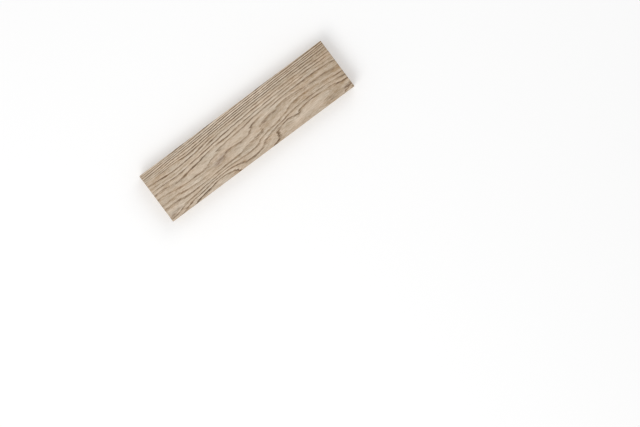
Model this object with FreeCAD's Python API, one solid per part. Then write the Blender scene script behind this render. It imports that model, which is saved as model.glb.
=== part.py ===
"""Solid oak parquet block, grooved all round.

The block is one length of oak, planed to an oblong slab. Each of its four edges is milled with the
same cutter: a groove for half of a loose tongue, and a lower lip that stands back a little, so that
two blocks close tight at the wear face first. The edges of the wear face are eased by a fine bevel.

It lies on its back with the wear face up. The origin is the middle of the back, +X runs along the
block and its grain, +Y runs across it and +Z points up. Lengths are in millimetres.
"""

import FreeCAD, Part

import os

# Driving dimensions
LENGTH = 280.0          # along the grain
WIDTH = 70.0            # across the grain
THICKNESS = 22.0        # from the back to the wear face
WEAR_LAYER = 9.0        # from the wear face down to the groove
GROOVE_HEIGHT = 5.0     # opening that takes the loose tongue
GROOVE_DEPTH = 7.0      # from the edge into the block, for half of the tongue
LIP_SETBACK = 0.5       # how far the lower lip stands back from the upper one
ARRIS_BEVEL = 0.5       # leg of the bevel along the edges of the wear face
CUTTER_OVERRUN = 5.0    # how far the cutter passes beyond the block, so that it cuts clean through

# Heights that follow from them
GROOVE_TOP = THICKNESS - WEAR_LAYER
GROOVE_BOTTOM = GROOVE_TOP - GROOVE_HEIGHT

UP = FreeCAD.Vector(0, 0, 1)
MIDDLE = FreeCAD.Vector(0, 0, 0)


def planed_slab():
    """The oblong slab, before its edges are milled."""
    half_length = LENGTH / 2
    half_width = WIDTH / 2
    corners = [
        FreeCAD.Vector(-half_length, -half_width, 0),
        FreeCAD.Vector(half_length, -half_width, 0),
        FreeCAD.Vector(half_length, half_width, 0),
        FreeCAD.Vector(-half_length, half_width, 0),
    ]
    outline = Part.makePolygon(corners + corners[:1])
    return Part.Face(outline).extrude(UP * THICKNESS)


def edge_cutter(reach, run):
    """The milling cutter's path along one edge: its section, carried along the edge.

    The edge lies at y = reach and runs along X for the given run. The section takes out the groove
    and the strip in front of the lower lip.
    """
    start = -run / 2 - CUTTER_OVERRUN
    outside = reach + CUTTER_OVERRUN
    below = -CUTTER_OVERRUN
    section = [
        FreeCAD.Vector(start, outside, GROOVE_TOP),
        FreeCAD.Vector(start, reach - GROOVE_DEPTH, GROOVE_TOP),
        FreeCAD.Vector(start, reach - GROOVE_DEPTH, GROOVE_BOTTOM),
        FreeCAD.Vector(start, reach - LIP_SETBACK, GROOVE_BOTTOM),
        FreeCAD.Vector(start, reach - LIP_SETBACK, below),
        FreeCAD.Vector(start, outside, below),
    ]
    profile = Part.Face(Part.makePolygon(section + section[:1]))
    return profile.extrude(FreeCAD.Vector(run + 2 * CUTTER_OVERRUN, 0, 0))


def mill_edges(block):
    """Grooves the two long edges and the two ends, each by the same cutter turned to face it."""
    for turn in (0, 90, 180, 270):
        across_an_end = turn % 180 == 90
        reach = (LENGTH if across_an_end else WIDTH) / 2
        run = WIDTH if across_an_end else LENGTH
        cutter = edge_cutter(reach, run)
        cutter.rotate(MIDDLE, UP, turn)
        block = block.cut(cutter).Solids[0]
    return block


def ease_wear_face(block):
    """Bevels the edges that bound the wear face, which is the block's highest face."""
    wear_face = max(block.Faces, key=lambda face: face.CenterOfMass.z)
    return block.makeChamfer(ARRIS_BEVEL, wear_face.Edges)


def main():
    """Builds the block and writes it as a STEP file."""
    block = ease_wear_face(mill_edges(planed_slab()))
    os.makedirs("parts", exist_ok=True)
    block.exportStep("parts/parquet_block.step")
    print(f"parquet_block: {len(block.Solids)} solid, {block.Volume:.1f} mm3, valid {block.isValid()}")


main()
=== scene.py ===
"""Looks of a solid oak parquet block: its brushed and stained wear face, grooved edges and back.

The block is one closed mesh. Its wear face is a grid that sinks a little along every growth line, as
brushed oak does, and its edges are one profile carried round the outline. One field of growth lines
draws the figure of the face, the stripes of the sides and the arcs of the ends.

Sizes are in millimetres, and become metres where Blender takes them. The block lies on its back: +X
runs along the grain, +Y across it and +Z up.
"""

import logging
import math
from dataclasses import dataclass, field
from enum import Enum
from typing import Optional, Union

import bpy
import numpy as np
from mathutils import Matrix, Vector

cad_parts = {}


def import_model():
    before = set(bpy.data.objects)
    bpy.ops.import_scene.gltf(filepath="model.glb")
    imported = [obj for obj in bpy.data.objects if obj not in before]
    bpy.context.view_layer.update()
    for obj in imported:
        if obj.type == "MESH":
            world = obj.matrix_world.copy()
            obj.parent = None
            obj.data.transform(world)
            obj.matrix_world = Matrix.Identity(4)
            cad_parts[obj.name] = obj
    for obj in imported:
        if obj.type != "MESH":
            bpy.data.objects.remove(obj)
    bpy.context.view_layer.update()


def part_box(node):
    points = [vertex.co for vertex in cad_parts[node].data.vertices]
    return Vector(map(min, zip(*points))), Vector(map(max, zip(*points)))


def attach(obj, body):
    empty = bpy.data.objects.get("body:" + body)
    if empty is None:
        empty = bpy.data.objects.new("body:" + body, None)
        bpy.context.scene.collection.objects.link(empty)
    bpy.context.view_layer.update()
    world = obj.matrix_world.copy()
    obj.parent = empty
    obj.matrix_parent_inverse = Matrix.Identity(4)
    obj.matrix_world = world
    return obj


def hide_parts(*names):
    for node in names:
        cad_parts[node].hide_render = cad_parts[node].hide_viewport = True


LOG = logging.getLogger("parquet_block")
METRES = 0.001
LATTICE_WAVES = (127.1, 311.7, 74.7)  # unlike numbers that tell the lattice's corners apart
LATTICE_GAIN = 43758.5453

Array = np.ndarray
Socket = bpy.types.NodeSocket
Swells = tuple["Swell", ...]
Pair = tuple[float, float]
Colour = tuple[float, float, float]
Number = Union["Value", float]
Rectangle = tuple[float, float, float, float]
Kinds = tuple["Surface", "Surface"]
Sockets = dict[Union[str, int], object]


class Surface(Enum):
    """The block's kinds of surface, in the order of its material slots."""

    WEAR = 0
    SIDE = 1
    END = 2


class Axis(Enum):
    """The direction that a milling cutter moved in over a surface."""

    ALONG = 0
    ACROSS = 1


def smoothstep(low: float, high: float, value: Array) -> Array:
    """t squared times (3 - 2t), where t rises from 0 at low to 1 at high, and stays there."""
    share = np.clip((value - low) / (high - low), 0.0, 1.0)
    return share * share * (3.0 - 2.0 * share)


def lattice_noise(x: Array, y: Array, z: Array) -> Array:
    """Smooth noise from -1 to 1, which is the same on every run.

    Each corner of a unit lattice has a value of its own, the fraction of a large sine. A point blends
    the eight corners about it by the smoothstep of its place between them.

    Args:
        x: First coordinate, in lattice steps.
        y: Second coordinate.
        z: Third coordinate.

    Returns:
        The noise at each point.
    """
    places = np.broadcast_arrays(x, y, z)
    cells = [np.floor(place) for place in places]
    blends = [smoothstep(0.0, 1.0, place - cell) for place, cell in zip(places, cells)]
    total = np.zeros(places[0].shape)
    for corner in np.ndindex(2, 2, 2):
        keys = [cell + step for cell, step in zip(cells, corner)]
        wave = np.sin(sum(key * rate for key, rate in zip(keys, LATTICE_WAVES))) * LATTICE_GAIN
        weight = np.ones(places[0].shape)
        for blend, step in zip(blends, corner):
            weight = weight * (blend if step else 1.0 - blend)
        total += weight * (wave - np.floor(wave))
    return 2.0 * total - 1.0


@dataclass(frozen=True)
class Swell:
    """A rounded rise or hollow over the wear face.

    Its formula is height times exp(-a^2 - c^2), where a and c are the distances from its middle along
    and across the grain, each divided by its reach that way.
    """

    along: float
    across: float
    height: float
    reach_along: float
    reach_across: float

    def over(self, along: Array, across: Array) -> Array:
        """The swell's height at each place."""
        a, c = (along - self.along) / self.reach_along, (across - self.across) / self.reach_across
        return self.height * np.exp(-a * a - c * c)


def summed(swells: Swells, along: Array, across: Array) -> Array:
    """The heights of several swells together, at each place."""
    return sum(swell.over(along, across) for swell in swells)


@dataclass(frozen=True)
class Grain:
    """The growth lines of the block, as a field through its whole thickness.

    Places are given along the grain from the middle of the block, across it from its +Y edge, and in
    depth below the wear face. A growth line runs where the field is a whole number.
    """

    fine_rate: float = 0.378  # lines for each millimetre across, where they lie close
    first_count: float = 0.28  # the count at the +Y edge
    wide_middle: float = 43.0  # where they lie widest apart, across the grain
    wide_reach: float = 20.0
    wide_share: float = 5.22  # lines that the wide part goes without, on each side
    gather: Swell = Swell(0, 16, 0.75, math.inf, 9)  # where they are drawn together
    uneven_share: float = 0.06  # how unevenly the closest ones are spaced, in lines
    uneven_rate: float = 1.15  # in radians for each millimetre
    uneven_end: Pair = (8.0, 16.0)

    # The wave that the lines climb: low and long near the +Y edge, high and short on the other half
    front: float = -56.0  # its middle at the +Y edge, along the grain
    front_slant: float = 1.25  # how far the middle moves along for each millimetre across
    turn_middle: float = 29.0  # between the two halves, across the grain
    turn_reach: float = 9.0
    wave_height: float = 3.3
    wave_gain: float = 7.2
    wave_reach: float = 60.0
    wave_cut: float = 33.0

    heart_across: float = 58.0  # the middle of the tree's rings, across the grain
    heart_depth: float = 45.0  # and below the wear face
    ring_rate: float = 0.42  # rings for each millimetre towards the middle
    stray: float = 0.075  # how far a line strays, in lines
    # Its noises: the weight of each, and the length and width of its cells
    strays: tuple[tuple[float, float, float], ...] = ((1.0, 34.0, 7.0), (0.4, 11.0, 3.0))
    lead: float = 0.1  # share of a ring over which a line's dark edge comes in
    band: float = 0.44  # share of a close ring over which it fades again
    close_pace: float = 0.34  # lines for each millimetre where rings count as close
    widest: float = 5.0  # the most times wider than a close ring that a ring counts
    narrowing: float = 0.42  # how far a wide ring keeps the open wood of a close one
    faintest: float = 0.1  # the least strength of a line
    half_step: float = 0.5  # half of the millimetre over which a slope is taken

    # Where the lines are pushed towards the +Y edge, or away from it, in millimetres
    lifts: Swells = (
        Swell(-60, 62, 9.5, 36, 7.5), Swell(-60, 68, 2.2, 30, 5), Swell(-78, 47, -3, 28, 7),
        Swell(-34, 41, 4.5, 16, 7), Swell(-108, 23, -2.5, 22, 6), Swell(-138, 55, 4.5, 30, 5),
        Swell(-135, 66, -3, 15, 6), Swell(-115, 48, 1.8, 9, 3.5), Swell(-135, 39, 3, 26, 5),
        Swell(-138, 32, 2.2, 26, 5), Swell(-82, 43, 1.4, 15, 4), Swell(-55, 29.5, 2.8, 22, 4.5),
        Swell(-83, 33.5, 2.4, 16, 4.5), Swell(-75, 18.5, -2.2, 28, 5), Swell(-120, 14, 1.4, 28, 3.5),
        Swell(-95, 6, 1, 30, 3), Swell(-54, 38.8, 3, 10, 3.4), Swell(-39, 44.5, 1.8, 9, 3.2),
        Swell(-118, 25.5, 0.9, 22, 5), Swell(-42, 55.5, 1.4, 16, 4.5), Swell(-24, 32.5, 2.4, 19, 3.6),
        Swell(-8, 66, 1.3, 14, 3.2), Swell(-1, 51.5, -2, 7, 3.5), Swell(90, 21, 1.6, 50, 4.5),
        Swell(110, 28, 1.6, 35, 3.5), Swell(-105, 66.5, 2.3, 16, 4), Swell(-88, 69, 2.2, 12, 4),
        Swell(-1, 37.5, -4.2, 13, 5.5), Swell(12, 45, -3.7, 10, 5), Swell(-15, 58.5, 2.6, 25, 4),
        Swell(8, 64, 1.5, 12, 4), Swell(150, 5, 3.2, 100, 20), Swell(105, 52, 2.6, 35, 6),
        Swell(72, 32, 6, 55, 8), Swell(32, 47.5, -4.5, 16, 5), Swell(62, 55, -1.9, 8.5, 3.6),
        Swell(44, 58, 1.6, 13, 6), Swell(145, 50, -4, 30, 12), Swell(70, 71, -14.3, 40, 11),
        Swell(122, 71, -12.5, 30, 12), Swell(-10, 48, 0.7, 150, 14), Swell(50, 24, 1, 90, 6),
        Swell(-42, 27, 0.9, 14, 4), Swell(42, 44, -0.8, 14, 10), Swell(-12, 51, 1.9, 15, 4),
        Swell(14, 57, 1.4, 12, 5), Swell(-126, 50, 0.5, 16, 9), Swell(126, 48, 0.5, 16, 7),
        Swell(104, 4, -0.8, 34, 7), Swell(-98, 13, 1, 14, 4), Swell(126, 13, -0.7, 16, 4),
        Swell(95, 26, 1.2, 45, 7), Swell(-42, 34, 0.7, 14, 13), Swell(-126, 30, 0.7, 14, 5),
        Swell(42, 40, -0.7, 12, 6), Swell(-70, 41, -0.4, 14, 8), Swell(-126, 56, 1.2, 14, 6),
        Swell(-98, 64, 0.6, 18, 7), Swell(-42, 66, 0.5, 18, 7), Swell(126, 66, 0.6, 14, 5),
        Swell(92, 33, -1.6, 12, 3), Swell(57, 32, 0.8, 10, 3), Swell(84, 41, 2.2, 18, 3.2),
        Swell(50, 44.5, -1.3, 9, 3), Swell(62, 31.5, 0.8, 9, 3), Swell(126, 28, 0.5, 14, 4),
        Swell(-42, 56, 0.5, 14, 5), Swell(-98, 48, 0.4, 14, 5), Swell(-14, 30, 0.4, 14, 5),
        Swell(-126, 21, -0.4, 14, 5), Swell(130, 4, -0.6, 14, 6), Swell(27, 65, -0.6, 7, 5),
    )

    # Where the wood is lighter or darker than the rest, as a share of its colour
    shades: Swells = (
        Swell(135, 6, -0.13, 62, 22), Swell(140, 42, -0.09, 24, 40), Swell(-120, 18, -0.09, 22, 7),
        Swell(-40, -5, -0.01, 150, 16), Swell(-50, 13, -0.06, 75, 5), Swell(-5, 27, 0.07, 85, 12),
        Swell(0, 73, -0.11, 170, 13), Swell(90, 46, -0.1, 48, 10), Swell(-40, 35.5, -0.05, 32, 3),
        Swell(70, 39, -0.1, 22, 4), Swell(-39, 47.5, 0.1, 6.5, 2.4), Swell(-27, 46.5, 0.07, 11, 3),
        Swell(-10, 44, 0.07, 24, 4.5), Swell(-8, 34, 0.02, 20, 3.5), Swell(-88, 38, 0.05, 22, 4),
        Swell(66, 61, 0.05, 36, 6), Swell(-128, 47, -0.06, 20, 12), Swell(28, 62, -0.05, 18, 10),
        Swell(20, 4, 0.04, 30, 8), Swell(138, 4, -0.12, 14, 9),
    )

    # Where it is smoky, which is darker and greyer
    smokes: Swells = (
        Swell(-45.5, 43.4, 0.25, 6.5, 3.2), Swell(-53, 46, 0.27, 5.5, 2.8), Swell(-40, 40.3, 0.12, 7, 2.2),
        Swell(-133, 63, 0.1, 8, 3), Swell(135, 65, 0.1, 8, 3),
    )

    # Where open wood shows in patches, because a growth line only grazes the face
    grazes: Swells = (
        Swell(-45.5, 43.6, 0.45, 6, 2.2), Swell(-53, 46, 0.4, 5, 2), Swell(62, 34, 0.6, 12, 1.6),
        Swell(70, 41, 0.6, 10, 1.5), Swell(121, 36.5, 0.6, 8, 1.2), Swell(97, 43.3, 0.5, 11, 1),
        Swell(109, 63.2, 0.9, 10, 1.2), Swell(111, 66.5, 0.8, 11, 0.9), Swell(133, 64.7, 1.1, 8, 2.2),
        Swell(-89, 67.3, 1, 9, 1.1), Swell(-124, 61.2, 1, 7, 1.3), Swell(-133, 63.2, 0.8, 6, 1.8),
        Swell(-138, 65.5, 0.6, 6, 2),
    )

    # Where the growth lines are fainter or darker than elsewhere
    fades: Swells = (
        Swell(-132, 13.5, -0.6, 13, 2.5), Swell(-113, 19.5, 0.4, 9, 2), Swell(-125, 12, -0.5, 15, 4),
        Swell(-126, 27, -0.25, 18, 7), Swell(-122, 54, -0.1, 28, 2), Swell(-125, 47, -0.4, 22, 3),
        Swell(-122, 15, -0.3, 20, 7), Swell(20, 12, 0.8, 32, 5), Swell(0, 4, 1.5, 100, 6),
        Swell(-110, 36, -0.3, 30, 7), Swell(-20, 40, -0.3, 30, 6), Swell(28, 36, -0.35, 18, 4),
        Swell(-70, 58, 0.5, 25, 4), Swell(-70, 50.5, -0.5, 24, 2.5), Swell(-50, 47, -0.6, 14, 3.5),
        Swell(-52, 37, -0.15, 10, 3), Swell(-67, 41, -0.4, 7, 3), Swell(-49, 43.5, -0.5, 9, 2.6),
        Swell(-80, 31.5, 0.3, 14, 2.5), Swell(-76, 66, 1.6, 24, 3.2), Swell(-28, 25, 0.3, 24, 2.5),
        Swell(-22, 31, -0.15, 20, 2.5), Swell(6, 33, 0.4, 7, 3), Swell(33, 29.5, -0.7, 14, 2),
        Swell(10, 48.5, 0.4, 9, 3), Swell(-18, 49, 0.4, 16, 3), Swell(-70, 13, -0.25, 20, 4),
        Swell(-40, 57, 0.25, 30, 4), Swell(19, 43, -0.6, 5, 2.5), Swell(30, 62, 0.1, 8, 6),
        Swell(60, 10.5, 0.25, 60, 2), Swell(75, 33, -0.55, 28, 3.2), Swell(95, 43, -0.55, 35, 4),
        Swell(113, 49, -0.6, 14, 2.5), Swell(67, 54, 0.3, 13, 3), Swell(124, 55.5, 0.5, 10, 3),
        Swell(138, 16, -0.35, 13, 12), Swell(-38, 18.5, 0.6, 26, 1.8), Swell(110, 27, 0.8, 16, 2),
        Swell(46, 59.5, -1, 7, 2.2),
    )

    # Where the growth lines are broad and soft, as a share of their width
    softenings: Swells = (
        Swell(70, 38, 1.2, 45, 9), Swell(-48, 43.5, 0.8, 10, 3.5), Swell(-20, 42, 0.8, 18, 3.5),
        Swell(-125, 35, 0.6, 25, 6), Swell(10, 58, 0.5, 25, 8), Swell(30, 61, 0.8, 8, 5),
        Swell(66, 54.5, 0.6, 13, 3.5),
    )

    # How dark each growth line is, counted from the first that the face shows
    first_line: float = 4.0
    strengths: tuple[float, ...] = (
        0.9, 1.3, 0.75, 1.5, 0.85, 1.4, 1.2, 1.4, 0.7, 1.05,
        1.0, 0.8, 0.85, 0.85, 0.75, 0.9, 1.1, 0.9, 0.6,
    )

    def lift(self, along: Array, across: Array) -> Array:
        """How far the lines are pushed towards the +Y edge: a wave, which is a tanh, and the swells.

        Args:
            along: Places along the grain.
            across: Places across it.

        Returns:
            The push at each place, in millimetres.
        """
        lower = 0.5 + 0.5 * np.tanh((across - self.turn_middle) / self.turn_reach)
        front = self.front + self.front_slant * across
        climb = np.tanh((along - front) / (self.wave_reach - self.wave_cut * lower))
        return (self.wave_height + self.wave_gain * lower) * climb + summed(self.lifts, along, across)

    def growth(self, along: Array, across: Array, depth: Array) -> Array:
        """The number of growth lines from the block's +Y edge to each place.

        On the face it is a straight count, less a tanh that spreads the lines apart in the middle,
        plus a bell that draws them together between the two, and a sine that spaces the closest ones
        unevenly. Below the face it grows as the place comes nearer to the middle of the tree, so that
        an end shows arcs. Noise makes each line stray.

        Args:
            along: Places along the grain.
            across: Places across it.
            depth: Depths below the wear face.

        Returns:
            The count at each place, a whole number on a line.
        """
        level = across + self.lift(along, across)
        spread = self.wide_share * np.tanh((level - self.wide_middle) / self.wide_reach)
        gather = self.gather.over(along, level)
        face_count = self.fine_rate * level - spread + gather + self.first_count
        aside = across - self.heart_across
        nearer = np.hypot(aside, self.heart_depth) - np.hypot(aside, self.heart_depth - depth)
        stray = sum(
            weight * lattice_noise(along / length, level / width, depth / width)
            for weight, length, width in self.strays
        )
        close = 1.0 - smoothstep(*self.uneven_end, level)
        uneven = self.uneven_share * np.sin(self.uneven_rate * level) * close
        return face_count + uneven + self.ring_rate * nearer + self.stray * stray

    def slope(self, along: Array, across: Array, depth: Array) -> Array:
        """The lines met for each millimetre along the grain, from the counts on both sides."""
        ahead = self.growth(along + self.half_step, across, depth)
        return ahead - self.growth(along - self.half_step, across, depth)

    def spread(self, along: Array, across: Array) -> Array:
        """How much smaller a share of its ring a growth line takes on the face than in a close ring.

        It is the ring's width over a close one's, to the power of the narrowing, divided by 1 plus
        the softenings.

        Args:
            along: Places along the grain.
            across: Places across it.

        Returns:
            1 on close rings, more where the lines lie farther apart, and less where they are soft.
        """
        face = np.zeros_like(along)
        farther = self.growth(along, across + self.half_step, face)
        rise = farther - self.growth(along, across - self.half_step, face)
        pace = np.hypot(rise, self.slope(along, across, face))
        wider = self.close_pace / np.clip(pace, self.close_pace / self.widest, self.close_pace)
        return wider ** self.narrowing / (1.0 + summed(self.softenings, along, across))

    def strength(self, along: Array, across: Array, growth: Array) -> Array:
        """How dark the lines are: each one's own strength, blended between neighbours, and the fades."""
        own = np.interp(growth, self.first_line + np.arange(len(self.strengths)), self.strengths)
        return np.maximum(own + summed(self.fades, along, across), self.faintest)

    def open_wood(self, growth: Array, spread: Array) -> Array:
        """The open, pored wood that starts each ring: 1 on a line, falling to 0 within the ring."""
        place = (growth + self.lead) % 1.0
        fall = smoothstep(0.0, self.band, (place - self.lead) * spread)
        return smoothstep(0.0, self.lead, place) * (1.0 - fall)


def added(name: str, data: bpy.types.ID) -> bpy.types.Object:
    """Puts an object into the scene.

    Args:
        name: Its name.
        data: Its mesh, light or lens.

    Returns:
        The object, at the origin.
    """
    made = bpy.data.objects.new(name, data)
    bpy.context.scene.collection.objects.link(made)
    return made


class Value:
    """A number that changes over a surface: a socket whose operators add Math nodes."""

    def __init__(self, tree: "ShaderTree", socket: Socket) -> None:
        """Wraps a socket of the given tree."""
        self.tree = tree
        self.socket = socket

    def __add__(self, other: Number) -> "Value":
        """The sum, from either side."""
        return self.tree.math("ADD", self, other)

    def __sub__(self, other: Number) -> "Value":
        """The difference."""
        return self.tree.math("SUBTRACT", self, other)

    def __rsub__(self, other: Number) -> "Value":
        """The difference, from the right."""
        return self.tree.math("SUBTRACT", other, self)

    def __mul__(self, other: Number) -> "Value":
        """The product, from either side."""
        return self.tree.math("MULTIPLY", self, other)

    __radd__ = __add__
    __rmul__ = __mul__

    def fraction(self) -> "Value":
        """What is left above the whole number below it."""
        return self.tree.math("FRACT", self)

    def whole(self) -> "Value":
        """The whole number below it."""
        return self.tree.math("FLOOR", self)

    def sine(self) -> "Value":
        """Its sine."""
        return self.tree.math("SINE", self)

    def most(self, other: Number) -> "Value":
        """The larger of the two."""
        return self.tree.math("MAXIMUM", self, other)

    def share(self, low: float, high: float) -> "Value":
        """0 up to low, 1 from high, and smooth between them."""
        sockets = {"Value": self, "From Min": low, "From Max": high}
        ranged = self.tree.node("MapRange", sockets, interpolation_type="SMOOTHSTEP")
        return Value(self.tree, ranged.outputs["Result"])


class ShaderTree:
    """The nodes of one material or world."""

    def __init__(self, nodes: bpy.types.NodeTree) -> None:
        """Clears the tree that it takes over."""
        self.nodes = nodes
        self.nodes.nodes.clear()

    def node(self, kind: str, sockets: Sockets, **settings: object) -> bpy.types.Node:
        """Adds a node.

        Args:
            kind: The node's type, without the ShaderNode that each begins with.
            sockets: What goes into its sockets, by name or number: a link or a plain value.
            settings: Its own settings, which are set first.

        Returns:
            The new node.
        """
        made = self.nodes.nodes.new("ShaderNode" + kind)
        for name, setting in settings.items():
            setattr(made, name, setting)
        for name, given in sockets.items():
            source = given.socket if isinstance(given, Value) else given
            if isinstance(source, Socket):
                self.nodes.links.new(source, made.inputs[name])
            else:
                made.inputs[name].default_value = source
        return made

    def math(self, operation: str, *operands: Number) -> Value:
        """A Math node on one or two numbers."""
        made = self.node("Math", dict(enumerate(operands)), operation=operation)
        return Value(self, made.outputs[0])

    def vector(self, operation: str, *operands: object) -> Socket:
        """A Vector Math node on one or two vectors or colours."""
        made = self.node("VectorMath", dict(enumerate(operands)), operation=operation)
        return made.outputs[0]

    def times(self, vector: object, factor: Number) -> Socket:
        """A vector or colour times a number."""
        made = self.node("VectorMath", {0: vector, "Scale": factor}, operation="SCALE")
        return made.outputs[0]

    def joined(self, x: Number, y: Number, z: Number) -> Socket:
        """A vector of three numbers."""
        return self.node("CombineXYZ", {"X": x, "Y": y, "Z": z}).outputs[0]

    def attribute(self, name: str) -> Value:
        """A number that the mesh holds at each vertex."""
        made = self.node("Attribute", {}, attribute_name=name)
        return Value(self, made.outputs["Fac"])

    def noise(self, place: Socket, detail: float = 1.0) -> Value:
        """Noise about 0, mostly within a half each way, with one bump to a unit of its coordinates."""
        made = self.node("TexNoise", {"Vector": place, "Scale": 1.0, "Detail": detail})
        return Value(self, made.outputs["Fac"]) - 0.5

    def spots(self, place: Socket) -> tuple[Value, Value]:
        """Spots scattered one to a unit cell.

        Args:
            place: The coordinates.

        Returns:
            The distance to the nearest spot, and a number of its own from 0 to 1.
        """
        made = self.node("TexVoronoi", {"Vector": place, "Scale": 1.0})
        own = self.node("SeparateColor", {"Color": made.outputs["Color"]}).outputs[0]
        return Value(self, made.outputs["Distance"]), Value(self, own)

    def blend(self, share: Number, first: object, second: object) -> Socket:
        """A colour between two, by the share of the second."""
        made = self.node("Mix", {0: share, 6: first, 7: second}, data_type="RGBA")
        return made.outputs[2]


def linear(colour: Colour) -> tuple[float, float, float, float]:
    """A screen colour of 0 to 255 as the shader's own numbers, by the sRGB curve."""
    shares = [channel / 255.0 for channel in colour]
    return (*(s / 12.92 if s <= 0.04045 else ((s + 0.055) / 1.055) ** 2.4 for s in shares), 1.0)


class OakTexture:
    """The patterns of oak that every finish is mixed from, in millimetres of the block's own frame."""

    # Cells of the patterns: the length along the grain and the width across it
    SLIDE_CELL = (11.0, 0.5)
    STEP_CELL = (15.0, 1.7)
    DASH_CELL = (8.0, 0.9)
    RAGGED_CELL = (5.0, 0.7)
    PORE_CELL = (4.5, 0.26)
    MOTTLE_CELL = (10.0, 0.32)
    STRAND_CELL = (8.0, 0.75)
    FLECK_CELL = (15.0, 0.5)
    FINE_CELL = (9.0, 0.13)
    FIBRE_CELL = (18.0, 1.1)
    FLAKE_CELL = (4.2, 0.7)
    BREAK_CELL = (10.0, 1.4)
    CLOUD_CELL = (60.0, 15.0)
    HUE_CELL = (24.0, 7.0)
    FLECK_RISE = 13.0  # length of a fleck's cell towards the middle of the tree
    FLECK_TILT = 0.45  # how far that direction leans from upright, in radians
    DETAIL = 2.0  # finer noises that are added to the finest patterns

    # Streaks that follow the growth lines: their length, and how many lie side by side in a ring
    PATCH_STREAK = (36.0, 7.3)
    LONG_STREAK = (48.0, 3.1)
    FINE_STREAK = (26.0, 8.5)
    STREAK_CUT = 0.5  # where the noise that they come from is cut

    # How far noise pushes the growth lines along the grain, and frays them
    SLIDE = 5.0
    STEP = 13.0
    RAGGED = 0.24

    # Weights of the patterns in each mix
    LINE_MEAN = 1.05
    LINE_PATCH = 2.4
    LINE_BREAK = 2.2
    GRAZE_MEAN = 0.7
    GRAZE_FIBRE = 1.6
    CALM_MOST = 4.1  # fine streaks, which weaken as the spread grows
    CALM_FALL = 1.75
    CALM_LEAST = 0.5
    STAIN_MOTTLE = 1.8
    STAIN_STRAND = 0.8
    STAIN_FINE = 0.5
    STAIN_DASH = 0.5
    DASH_FINE = 0.7
    HAIR_FINE = 2.2
    HAIR_FIBRE = 0.7
    PORE_REACH = (0.34, 0.3)  # the least reach of a spot, and how far spots differ
    FLECK_REACH = (0.12, 0.3)
    FEW_PORES = 0.22  # the reach of the few pores outside open wood

    # The numbers between which each pattern comes in
    TONE_EDGES = (0.0, 0.85)
    MOTTLE_EDGES = (0.0, 0.3)
    DASH_EDGES = (0.1, 0.26)
    DASH_FADE = (0.1, 1.0)
    STAIN_EDGES = (0.1, 0.95)
    HAIR_EDGES = (-0.14, 0.26)
    FEW_EDGES = (0.75, 1.0)
    SPOT_EDGES = (0.0, 0.12)

    def __init__(self, tree: ShaderTree, grain: Grain) -> None:
        """Reads the block's coordinates, and the numbers that its mesh holds.

        Args:
            tree: The tree that the patterns are made in.
            grain: The field whose growth lines they follow.
        """
        self.tree = tree
        self.grain = grain
        coordinates = tree.node("TexCoord", {}).outputs["Object"]
        self.place = tree.times(coordinates, 1.0 / METRES)
        parts = tree.node("SeparateXYZ", {"Vector": self.place}).outputs
        self.runs = {Axis.ALONG: Value(tree, parts["X"]), Axis.ACROSS: Value(tree, parts["Y"])}
        self.spread = tree.attribute("spread")
        slide = self.SLIDE * self.along_grain(self.SLIDE_CELL)
        slide = slide + self.STEP * self.along_grain(self.STEP_CELL)
        ragged = self.RAGGED * self.along_grain(self.RAGGED_CELL)
        self.ring = tree.attribute("growth") + tree.attribute("slope") * slide + ragged + grain.lead
        self.fine = self.along_grain(self.FINE_CELL, self.DETAIL)
        self.fibre = self.along_grain(self.FIBRE_CELL, self.DETAIL)
        self.open_wood = self.lines()
        self.pore = self.pores()

    def drawn(self, cell: Pair) -> Socket:
        """The block's coordinates, counted in cells that are drawn out along the grain."""
        length, width = cell
        return self.tree.vector("DIVIDE", self.place, (length, width, width))

    def along_grain(self, cell: Pair, detail: float = 1.0) -> Value:
        """Noise in cells that are drawn out along the grain."""
        return self.tree.noise(self.drawn(cell), detail)

    def along_rings(self, streak: Pair, ring: Value) -> Value:
        """Noise in streaks of a length, and so many to a ring, that follow the growth lines."""
        along = self.runs[Axis.ALONG] * (1.0 / streak[0])
        return self.tree.noise(self.tree.joined(along, ring * streak[1], self.STREAK_CUT), self.DETAIL)

    def streaks(self) -> Value:
        """Long streaks along the rings, and fine ones that are calmer where a ring is wide."""
        calm = (self.CALM_MOST - self.CALM_FALL * self.spread).most(self.CALM_LEAST)
        fine = calm * self.along_rings(self.FINE_STREAK, self.ring)
        return self.along_rings(self.LONG_STREAK, self.ring) + fine

    def lines(self) -> Value:
        """The open, dark wood that starts each ring, stronger here and weaker there.

        Returns:
            A sharp edge and then a slow fade on each line, or the patches where a line grazes the face.
        """
        phase = self.ring.fraction()
        patches = self.along_rings(self.PATCH_STREAK, self.ring.whole())
        breaks = self.along_grain(self.BREAK_CELL)
        uneven = self.LINE_MEAN + self.LINE_PATCH * patches + self.LINE_BREAK * breaks
        rise = (phase * self.spread).share(0.0, self.grain.lead)
        fall = 1.0 - ((phase - self.grain.lead) * self.spread).share(0.0, self.grain.band)
        line = rise * fall * (self.tree.attribute("strength") * uneven)
        return line.most(self.tree.attribute("graze") * (self.GRAZE_MEAN + self.GRAZE_FIBRE * self.fibre))

    def ring_tone(self) -> Value:
        """How the wood grows paler through each ring: from -1 after a line to 1 before the next."""
        return 2.0 * self.ring.fraction().share(*self.TONE_EDGES) - 1.0

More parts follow.
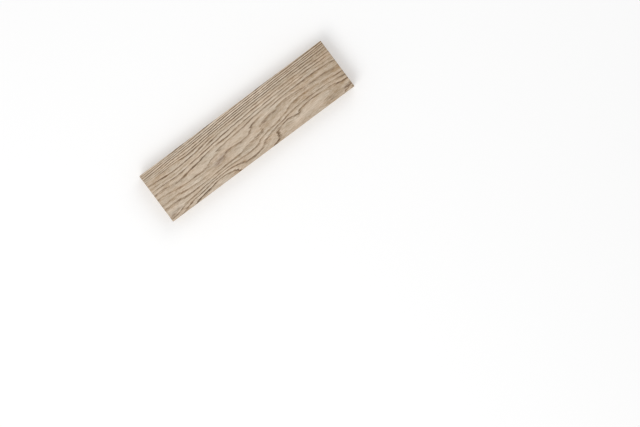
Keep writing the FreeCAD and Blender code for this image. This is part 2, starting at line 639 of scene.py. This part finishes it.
    def stain(self) -> Value:
        """Dark fibres, which lie close together on a growth line and thin out beyond it.

        Returns:
            The share of the stain's colour.
        """
        strands = self.STAIN_STRAND * self.along_grain(self.STRAND_CELL)
        mottle = self.along_grain(self.MOTTLE_CELL, self.DETAIL) + strands
        mottle = mottle * self.open_wood.share(*self.MOTTLE_EDGES)
        dashes = (self.along_grain(self.DASH_CELL) + self.DASH_FINE * self.fine).share(*self.DASH_EDGES)
        dashes = dashes * (1.0 - self.ring.fraction().share(*self.DASH_FADE))
        line = self.open_wood + self.STAIN_MOTTLE * mottle + self.STAIN_FINE * self.fine * self.open_wood
        return line.share(*self.STAIN_EDGES).most(self.STAIN_DASH * dashes)

    def hairs(self) -> Value:
        """Fine dark fibres, sharp one by one, crowded here and sparse there."""
        crowding = self.along_grain(self.FLAKE_CELL) + self.HAIR_FIBRE * self.fibre
        return (self.HAIR_FINE * self.fine + crowding).share(*self.HAIR_EDGES)

    def pores(self) -> Value:
        """Long narrow pores, crowded and large in the open wood, few and small elsewhere.

        Returns:
            1 inside a pore.
        """
        distance, own = self.tree.spots(self.drawn(self.PORE_CELL))
        least, more = self.PORE_REACH
        reach = self.open_wood * (least + more * own) + self.FEW_PORES * own.share(*self.FEW_EDGES)
        return (reach - distance).share(*self.SPOT_EDGES)

    def flecks(self) -> Value:
        """Rays: thin sheets of wood that run along the grain and towards the middle of the tree.

        Returns:
            1 inside a ray.
        """
        scale = (*self.FLECK_CELL, self.FLECK_RISE)
        sockets = {"Vector": self.place, "Rotation": (self.FLECK_TILT, 0.0, 0.0), "Scale": scale}
        turned = self.tree.node("Mapping", sockets, vector_type="TEXTURE")
        distance, own = self.tree.spots(turned.outputs[0])
        least, more = self.FLECK_REACH
        return (least + more * own - distance).share(*self.SPOT_EDGES)


@dataclass(frozen=True)
class CutterMarks:
    """Fine ripples that a turning cutter leaves as the wood moves past it."""

    axis: Axis
    pitch: float
    depth: float

    def ripple(self, texture: OakTexture) -> Value:
        """The height of the ripples: a sine along the cutter's way."""
        return self.depth * (texture.runs[self.axis] * (2.0 * math.pi / self.pitch)).sine()


@dataclass(frozen=True)
class OakFinish:
    """The colours and the feel of one kind of oak surface."""

    name: str
    clear: Colour  # the dense wood between two growth lines
    open_wood: Colour  # the wood along a growth line
    pore: Colour  # inside a pore
    line_share: float  # how far a growth line goes to its own colour
    pore_share: float
    fleck_gain: float  # how much lighter a ray is
    ring_gain: float  # how much paler or darker the ends of a ring are
    contrast: float  # how strongly fibres and streaks show
    roughness: float
    pore_depth: float
    shine: float  # the shader's specular level
    marks: Optional[CutterMarks] = None

    TINT = (0.8, 1.0, 1.28)  # how much of a change of light each of red, green and blue takes
    HUE = (0.1, -0.02, -0.12)  # how far each of them drifts over the surface
    SMOKE = (0.9, 1.02, 1.0)  # how much of the smoke each of them takes
    WHITE = (1.0, 1.0, 1.0)

    # How much each pattern changes the light, before the contrast
    CLOUD_LIGHT = 0.18
    HAIR_LIGHT = 0.35
    FIBRE_LIGHT = 0.2
    STREAK_LIGHT = 0.4
    LEVEL_LIGHT = 0.14  # what makes up for the hairs

    # Heights in millimetres, and changes of roughness
    FINE_HEIGHT = 0.03
    FIBRE_HEIGHT = 0.02
    PORE_ROUGHNESS = 0.15
    FINE_ROUGHNESS = 0.2

    def colour(self, texture: OakTexture) -> Socket:
        """Mixes the colour: clear wood, stained on the growth lines, lighter and darker, with pores.

        Args:
            texture: The patterns.

        Returns:
            The colour.
        """
        tree = texture.tree
        grained = self.LEVEL_LIGHT - self.HAIR_LIGHT * texture.hairs()
        grained = grained + self.FIBRE_LIGHT * texture.fibre + self.STREAK_LIGHT * texture.streaks()
        light = tree.attribute("shade") + self.CLOUD_LIGHT * texture.along_grain(texture.CLOUD_CELL)
        light = light + self.fleck_gain * texture.flecks() + self.contrast * grained
        light = light + self.ring_gain * tree.attribute("strength") * texture.ring_tone()
        unsmoked = tree.vector("SUBTRACT", self.WHITE, tree.times(self.SMOKE, tree.attribute("smoke")))
        gain = tree.vector("ADD", tree.times(self.TINT, light), unsmoked)
        gain = tree.vector("ADD", gain, tree.times(self.HUE, texture.along_grain(texture.HUE_CELL)))
        stain = texture.stain() * self.line_share
        wood = tree.blend(stain, linear(self.clear), linear(self.open_wood))
        lit = tree.vector("MULTIPLY", wood, gain)
        return tree.blend(texture.pore * self.pore_share, lit, linear(self.pore))

    def material(self, grain: Grain) -> bpy.types.Material:
        """Makes the finish as a material that reads the numbers held by the block's mesh.

        Args:
            grain: The field whose bands the lines follow.

        Returns:
            The material.
        """
        made = bpy.data.materials.new(self.name)
        made.use_nodes = True
        tree = ShaderTree(made.node_tree)
        texture = OakTexture(tree, grain)
        height = self.FINE_HEIGHT * texture.fine + self.FIBRE_HEIGHT * texture.fibre
        height = height - self.pore_depth * texture.pore
        if self.marks is not None:
            height = height + self.marks.ripple(texture)
        bump = tree.node("Bump", {"Strength": 1.0, "Distance": METRES, "Height": height})
        rough = self.roughness + self.PORE_ROUGHNESS * texture.pore
        sockets = {
            "Base Color": self.colour(texture),
            "Roughness": rough + self.FINE_ROUGHNESS * texture.fine,
            "Specular IOR Level": self.shine,
            "Normal": bump.outputs["Normal"],
        }
        shader = tree.node("BsdfPrincipled", sockets)
        tree.node("OutputMaterial", {"Surface": shader.outputs["BSDF"]})
        return made


WEAR_FINISH = OakFinish(
    name="stained_wear_face",
    clear=(193, 174, 152),
    open_wood=(142, 121, 99),
    pore=(103, 84, 66),
    line_share=0.9, pore_share=0.75,
    fleck_gain=-0.07, ring_gain=0.14, contrast=1.2,
    roughness=0.6, pore_depth=0.06, shine=0.3,
)
SIDE_FINISH = OakFinish(
    name="milled_oak_side",
    clear=(207, 184, 153),
    open_wood=(176, 148, 115),
    pore=(132, 106, 79),
    line_share=0.8, pore_share=0.7,
    fleck_gain=0.08, ring_gain=0.05, contrast=0.8,
    roughness=0.72, pore_depth=0.05, shine=0.25,
    marks=CutterMarks(Axis.ALONG, 1.6, 0.006),
)
END_FINISH = OakFinish(
    name="milled_oak_end",
    clear=(188, 161, 128),
    open_wood=(156, 127, 95),
    pore=(106, 82, 60),
    line_share=0.9, pore_share=0.85,
    fleck_gain=0.1, ring_gain=0.06, contrast=0.7,
    roughness=0.8, pore_depth=0.06, shine=0.2,
    marks=CutterMarks(Axis.ACROSS, 0.9, 0.01),
)


@dataclass
class Patch:
    """Faces of one kind: the vertices at their corners, where those lie on the map, and the kind."""

    corners: Array
    places: Array
    surface: Surface


@dataclass
class ParquetBlock:
    """The block: a brushed wear face, four grooved edges and a plain back, closed as one mesh."""

    length: float
    width: float
    thickness: float
    wear_layer: float = 9.0
    groove_height: float = 5.0
    groove_depth: float = 7.0
    lip_setback: float = 0.5
    arris_bevel: float = 0.5
    arris_swell: float = 0.05  # how far the worn bevel stands out from a flat one
    brushing: float = 0.1  # how deep the brush wears a growth line
    cells_along: int = 380
    cells_across: int = 152
    back_rows: int = 19
    edge_step: float = 2.5  # the longest step down an edge
    grain: Grain = field(default_factory=Grain)

    # Where the wear face, the back, and the four edges lie on the map: left, low, right, high
    wear_place: Rectangle = (0.004, 0.5, 0.996, 0.996)
    back_place: Rectangle = (0.004, 0.3, 0.996, 0.49)
    edge_places: tuple[Rectangle, ...] = (
        (0.004, 0.2, 0.996, 0.29),
        (0.004, 0.004, 0.49, 0.09),
        (0.004, 0.1, 0.996, 0.19),
        (0.51, 0.004, 0.996, 0.09),
    )

    def wear_face(self) -> Array:
        """The wear face as a grid of points.

        Its height is the thickness, less the brushing times the open wood and the line's strength.

        Returns:
            Points by column and row, with three numbers each.
        """
        x = np.linspace(-1.0, 1.0, self.cells_along + 1) * (self.length / 2 - self.arris_bevel)
        y = np.linspace(-1.0, 1.0, self.cells_across + 1) * (self.width / 2 - self.arris_bevel)
        x, y = np.meshgrid(x, y, indexing="ij")
        across = self.width / 2 - y
        growth = self.grain.growth(x, across, np.zeros_like(x))
        open_wood = self.grain.open_wood(growth, self.grain.spread(x, across))
        worn = open_wood * self.grain.strength(x, across, growth)
        return np.stack([x, y, self.thickness - self.brushing * worn], axis=-1)

    def edge_section(self) -> tuple[Array, list[Kinds]]:
        """The section of an edge, in even steps: the bevel, the upper lip, the groove and the lower lip.

        Returns:
            Points from the wear face to the back, each with its distance in from the outline and its
            height, and the kinds of surface that each step makes on a long side and on an end.
        """
        swollen = self.arris_bevel / 2 - self.arris_swell
        groove_top = self.thickness - self.wear_layer
        groove_bottom = groove_top - self.groove_height
        worn = (Surface.WEAR, Surface.WEAR)
        upright = (Surface.SIDE, Surface.END)
        level = (Surface.SIDE, Surface.SIDE)
        stops = [
            (self.arris_bevel, self.thickness, worn),
            (swollen, self.thickness - swollen, worn),
            (0.0, self.thickness - self.arris_bevel, upright),
            (0.0, groove_top, level),
            (self.groove_depth, groove_top, upright),
            (self.groove_depth, groove_bottom, level),
            (self.lip_setback, groove_bottom, upright),
            (self.lip_setback, 0.0, upright),
        ]
        points = [np.array([stops[0][:2]])]
        kinds: list[Kinds] = []
        for (start, high, kind), (stop, low, _) in zip(stops, stops[1:]):
            count = math.ceil(math.hypot(stop - start, low - high) / self.edge_step)
            shares = np.arange(1, count + 1)[:, None] / count
            points.append(np.array([start, high]) + shares * np.array([stop - start, low - high]))
            kinds += [kind] * count
        return np.concatenate(points), kinds

    def rim(self) -> tuple[Array, list[int]]:
        """The wear face's rim, as numbers of its grid, against the clock from its first corner.

        Returns:
            Column and row of each rim point, and where each of the four edges starts, and the end.
        """
        counts = np.array([self.cells_along, self.cells_across])
        corners = np.array([(0, 0), (1, 0), (1, 1), (0, 1), (0, 0)]) * counts
        lengths = [*counts, *counts]
        edges = [
            start + np.arange(length)[:, None] * np.sign(stop - start)
            for start, stop, length in zip(corners, corners[1:], lengths)
        ]
        return np.concatenate(edges), np.cumsum([0, *lengths]).tolist()

    def build(self) -> tuple[Array, list[Patch]]:
        """Works out the whole mesh.

        Returns:
            The vertices in millimetres, and the faces in patches.
        """
        face = self.wear_face()
        columns, rows = face.shape[:2]
        rim, starts = self.rim()
        points, kinds = self.edge_section()

        # The section carried round the outline: the rim, scaled to stand in by each point's distance
        unit = 2.0 * rim / (columns - 1, rows - 1) - 1.0
        below = points[1:]
        inset = np.array([self.length, self.width]) / 2 - below[:, :1]
        walls = np.empty((len(below), len(rim), 3))
        walls[:, :, :2] = inset[:, None, :] * unit[None, :, :]
        walls[:, :, 2] = below[:, 1:]

        # The back has every column of the face and fewer rows, and its own vertices lie inside the rim
        back_x = np.linspace(-1.0, 1.0, columns)[1:-1] * inset[-1, 0]
        back_y = np.linspace(-1.0, 1.0, self.back_rows + 1)[1:-1] * inset[-1, 1]
        back_x, back_y = np.meshgrid(back_x, back_y, indexing="ij")
        back = np.stack([back_x, back_y, np.zeros_like(back_x)], axis=-1)

        face_numbers = np.arange(columns * rows).reshape(columns, rows)
        wall_numbers = columns * rows + np.arange(len(below) * len(rim)).reshape(len(below), len(rim))
        loops = np.vstack([face_numbers[rim[:, 0], rim[:, 1]], wall_numbers])
        back_start = columns * rows + wall_numbers.size
        vertices = np.concatenate([face.reshape(-1, 3), walls.reshape(-1, 3), back.reshape(-1, 3)])

        u, v = np.linspace(0.0, 1.0, columns), np.linspace(0.0, 1.0, rows)
        patches = [self.patch(face_numbers, u, v, self.wear_place, Surface.WEAR)]
        patches += self.edge_patches(loops, starts, points, kinds)
        patches += self.back_patches(loops[-1], rim, back_start)
        return vertices, patches

    @staticmethod
    def patch(numbers: Array, u: Array, v: Array, place: Rectangle, surface: Surface) -> Patch:
        """The four-sided cells of a grid as faces, with their corners against the clock.

        Args:
            numbers: Vertex numbers by column and row.
            u: The share of the way across the grid's place on the map, one for each column.
            v: The share of the way up it, one for each row.
            place: That place: left, low, right, high.
            surface: The kind of surface.

        Returns:
            The patch.
        """
        left, low, right, high = place
        map_u, map_v = np.meshgrid(left + (right - left) * u, low + (high - low) * v, indexing="ij")
        grid = np.arange(numbers.size).reshape(numbers.shape)
        corners = [grid[:-1, :-1], grid[1:, :-1], grid[1:, 1:], grid[:-1, 1:]]
        cells = np.stack(corners, axis=-1).reshape(-1, 4)
        places = np.stack([map_u.ravel()[cells], map_v.ravel()[cells]], axis=-1)
        return Patch(numbers.ravel()[cells], places, surface)

    def edge_patches(
        self, loops: Array, starts: list[int], points: Array, kinds: list[Kinds]
    ) -> list[Patch]:
        """The faces of the four edges, one patch for each step of the section.

        Args:
            loops: Vertex numbers, a row for each point of the section, a column for each rim point.
            starts: Where each edge starts along the rim, and the end.
            points: The section's points.
            kinds: The kinds of surface that its steps make.

        Returns:
            The patches of all four edges.
        """
        steps = np.hypot(*np.diff(points, axis=0).T)
        up = 1.0 - np.concatenate([[0.0], np.cumsum(steps)]) / steps.sum()
        patches = []
        for edge, place in enumerate(self.edge_places):
            along = np.arange(starts[edge], starts[edge + 1] + 1) % loops.shape[1]
            u = np.linspace(0.0, 1.0, len(along))
            for step, kind in enumerate(kinds):
                rows = [step + 1, step]
                patches.append(self.patch(loops[rows][:, along].T, u, up[rows], place, kind[edge % 2]))
        return patches

    def back_patches(self, rim_numbers: Array, rim: Array, start: int) -> list[Patch]:
        """The faces of the back, which point down.

        At each end the rim has more points than the back has rows, so a cell there takes in several.

        Args:
            rim_numbers: Vertex numbers of the rim at the back.
            rim: Column and row of each rim point.
            start: The number of the back's first own vertex.

        Returns:
            The four-sided cells, and the cells at the two ends.
        """
        columns = self.cells_along + 1
        ratio = self.cells_across // self.back_rows
        grid = np.full((columns, self.cells_across + 1), -1)
        grid[rim[:, 0], rim[:, 1]] = rim_numbers
        inner = (columns - 2, self.back_rows - 1)
        grid[1:-1, ratio:-1:ratio] = start + np.arange(inner[0] * inner[1]).reshape(inner)
        left, low, right, high = self.back_place
        map_u = left + (right - left) * np.linspace(0.0, 1.0, columns)
        map_v = high + (low - high) * np.linspace(0.0, 1.0, self.cells_across + 1)

        def cells(column: Array, row: Array) -> Patch:
            """Faces whose corners stand at the given columns and rows."""
            places = np.stack([map_u[column], map_v[row]], axis=-1)
            return Patch(grid[column, row], places, Surface.SIDE)

        across = np.arange(0, self.cells_across, ratio)
        column, row = np.meshgrid(np.arange(1, columns - 2), across, indexing="ij")
        column = column.reshape(-1, 1)
        row = row.reshape(-1, 1)
        middle = cells(column + [0, 0, 1, 1], row + [0, ratio, ratio, 0])
        climb = np.arange(ratio + 1)
        ends = [
            ([0] * (ratio + 1) + [1, 1], [*climb, ratio, 0]),
            ([columns - 1] * (ratio + 1) + [columns - 2] * 2, [*climb[::-1], 0, ratio]),
        ]
        count = len(across)
        return [middle] + [cells(np.tile(c, (count, 1)), across[:, None] + r) for c, r in ends]

    def dressed(self, name: str, finishes: dict[Surface, OakFinish]) -> bpy.types.Object:
        """Makes the block as an object with its finishes.

        Args:
            name: The object's name.
            finishes: The finish of each kind of surface.

        Returns:
            The object, at the origin.
        """
        vertices, patches = self.build()
        faces = [face for patch in patches for face in patch.corners.tolist()]
        mesh = bpy.data.meshes.new(name)
        mesh.from_pydata(vertices * METRES, [], faces)
        surfaces = np.concatenate([np.full(len(p.corners), p.surface.value) for p in patches])
        mesh.polygons.foreach_set("material_index", surfaces.astype(np.int32))
        mesh.polygons.foreach_set("use_smooth", surfaces == Surface.WEAR.value)
        places = np.concatenate([patch.places.reshape(-1, 2) for patch in patches])
        mesh.uv_layers.new(name="OFBake").data.foreach_set("uv", places.astype(np.float32).ravel())

        along = vertices[:, 0]
        across = self.width / 2 - vertices[:, 1]
        depth = self.thickness - vertices[:, 2]
        growth = self.grain.growth(along, across, depth)
        spread = np.ones_like(along)
        face = slice(0, (self.cells_along + 1) * (self.cells_across + 1))
        spread[face] = self.grain.spread(along[face], across[face])
        held = {
            "growth": growth,
            "strength": self.grain.strength(along, across, growth),
            "slope": self.grain.slope(along, across, depth),
            "spread": spread,
            "shade": summed(self.grain.shades, along, across),
            "smoke": summed(self.grain.smokes, along, across),
            "graze": summed(self.grain.grazes, along, across),
        }
        for label, numbers in held.items():
            layer = mesh.attributes.new(label, "FLOAT", "POINT")
            layer.data.foreach_set("value", numbers.astype(np.float32))
        for surface in Surface:
            mesh.materials.append(finishes[surface].material(self.grain))
        mesh.update()
        LOG.info("%s: %d vertices, %d faces", name, len(vertices), len(faces))
        return added(name, mesh)


@dataclass(frozen=True)
class PhotoView:
    """Where the block lies in the photograph's frame, in its pixels, and the lens above it."""

    frame_width: float = 640.0
    frame_height: float = 427.0
    middle_x: float = 246.8
    middle_y: float = 131.1
    block_length: float = 226.5
    turn: float = 36.79  # degrees by which the block's length climbs to the right
    lens: float = 200.0
    sensor: float = 36.0

    def camera(self, block: ParquetBlock) -> None:
        """Makes the scene's camera, straight above the middle of the frame.

        Args:
            block: The block, whose length sets the scale.
        """
        scale = block.length / self.block_length
        turn = math.radians(self.turn)
        right = np.array([math.cos(turn), -math.sin(turn)])
        up = np.array([math.sin(turn), math.cos(turn)])
        to_right = self.frame_width / 2 - self.middle_x
        to_up = self.middle_y - self.frame_height / 2
        middle = scale * (to_right * right + to_up * up)
        distance = self.frame_width * scale * self.lens / self.sensor
        lens = bpy.data.cameras.new("photo_lens")
        lens.lens = self.lens
        lens.sensor_width = self.sensor
        camera = added("photo_camera", lens)
        camera.location = (*(middle * METRES), (block.thickness + distance) * METRES)
        camera.rotation_euler = (0.0, 0.0, -turn)
        bpy.context.scene.camera = camera


@dataclass(frozen=True)
class Lamp:
    """A square soft lamp that faces the block."""

    name: str
    place: tuple[float, float, float]
    side: float
    watts: float

    def light(self) -> None:
        """Makes the lamp, turned to the origin."""
        light = bpy.data.lights.new(self.name, "AREA")
        light.size = self.side * METRES
        light.energy = self.watts
        lamp = added(self.name, light)
        lamp.location = np.array(self.place) * METRES
        lamp.rotation_euler = lamp.location.to_track_quat("Z", "Y").to_euler()


@dataclass(frozen=True)
class Studio:
    """A pale floor under soft, even light."""

    floor_side: float = 12000.0
    floor_tone: float = 0.82
    floor_glow: float = 0.23  # what the floor adds where it is seen, so that it shows white
    floor_fade: Pair = (500.0, 1400.0)  # where it turns plain white, away from the block
    sky: float = 0.55
    lamps: tuple[Lamp, ...] = (
        Lamp("key_lamp", (-1100.0, -700.0, 1700.0), 1300.0, 18.0),
        Lamp("fill_lamp", (1300.0, 900.0, 1500.0), 1500.0, 8.0),
    )

    @staticmethod
    def seen(tree: ShaderTree) -> Value:
        """1 where a ray shows what it meets, in the picture, in a gloss or through glass."""
        rays = tree.node("LightPath", {}).outputs
        shown = Value(tree, rays["Is Camera Ray"]).most(Value(tree, rays["Is Glossy Ray"]))
        return shown.most(Value(tree, rays["Is Transmission Ray"]))

    def paint(self) -> bpy.types.Material:
        """Makes the floor's paint.

        Returns:
            A matt material that glows a little where it is seen, and is plain white away from the block.
        """
        made = bpy.data.materials.new("floor_paint")
        made.use_nodes = True
        tree = ShaderTree(made.node_tree)
        matt = tree.node("BsdfDiffuse", {"Color": (self.floor_tone,) * 3 + (1.0,)})
        seen = self.seen(tree)
        glow = tree.node("Emission", {"Strength": seen * self.floor_glow})
        near = tree.node("AddShader", {0: matt.outputs[0], 1: glow.outputs[0]})
        white = tree.node("Emission", {"Strength": 1.0})
        coordinates = tree.node("TexCoord", {}).outputs["Object"]
        distance = tree.node("VectorMath", {0: coordinates}, operation="LENGTH")
        start, end = self.floor_fade
        away = Value(tree, distance.outputs["Value"]).share(start * METRES, end * METRES)
        sockets = {0: away * seen, 1: near.outputs[0], 2: white.outputs[0]}
        mixed = tree.node("MixShader", sockets)
        tree.node("OutputMaterial", {"Surface": mixed.outputs[0]})
        return made

    def floor(self) -> None:
        """Makes the floor, which takes the block's shadow."""
        half = self.floor_side / 2 * METRES
        corners = np.array([(-1.0, -1.0, 0.0), (1.0, -1.0, 0.0), (1.0, 1.0, 0.0), (-1.0, 1.0, 0.0)])
        mesh = bpy.data.meshes.new("studio_floor")
        mesh.from_pydata(corners * half, [], [(0, 1, 2, 3)])
        mesh.materials.append(self.paint())
        floor = added("studio_floor", mesh)

    def light(self) -> None:
        """Sets the lamps, and a sky that shows white and lights the block at its own level."""
        for lamp in self.lamps:
            lamp.light()
        world = bpy.data.worlds.new("studio_sky")
        world.use_nodes = True
        bpy.context.scene.world = world
        tree = ShaderTree(world.node_tree)
        strength = self.sky + (1.0 - self.sky) * self.seen(tree)
        white = (1.0, 1.0, 1.0, 1.0)
        sky = tree.node("Background", {"Color": white, "Strength": strength})
        tree.node("OutputWorld", {"Surface": sky.outputs[0]})


def main() -> None:
    """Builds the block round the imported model, then the studio and the camera."""
    logging.basicConfig(level=logging.INFO, format="%(name)s: %(message)s")
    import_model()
    low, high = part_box("parquet_block")
    length, width, thickness = (side / METRES for side in high - low)
    block = ParquetBlock(length, width, thickness)
    finishes = {Surface.WEAR: WEAR_FINISH, Surface.SIDE: SIDE_FINISH, Surface.END: END_FINISH}
    piece = block.dressed("oak_block", finishes)
    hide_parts("parquet_block")
    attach(piece, "root")

    studio = Studio()
    studio.floor()
    studio.light()
    PhotoView().camera(block)
    bpy.context.scene.view_settings.view_transform = "Standard"
    LOG.info("studio: floor, %d lamps and camera", len(studio.lamps))


if __name__ == "__main__":
    main()
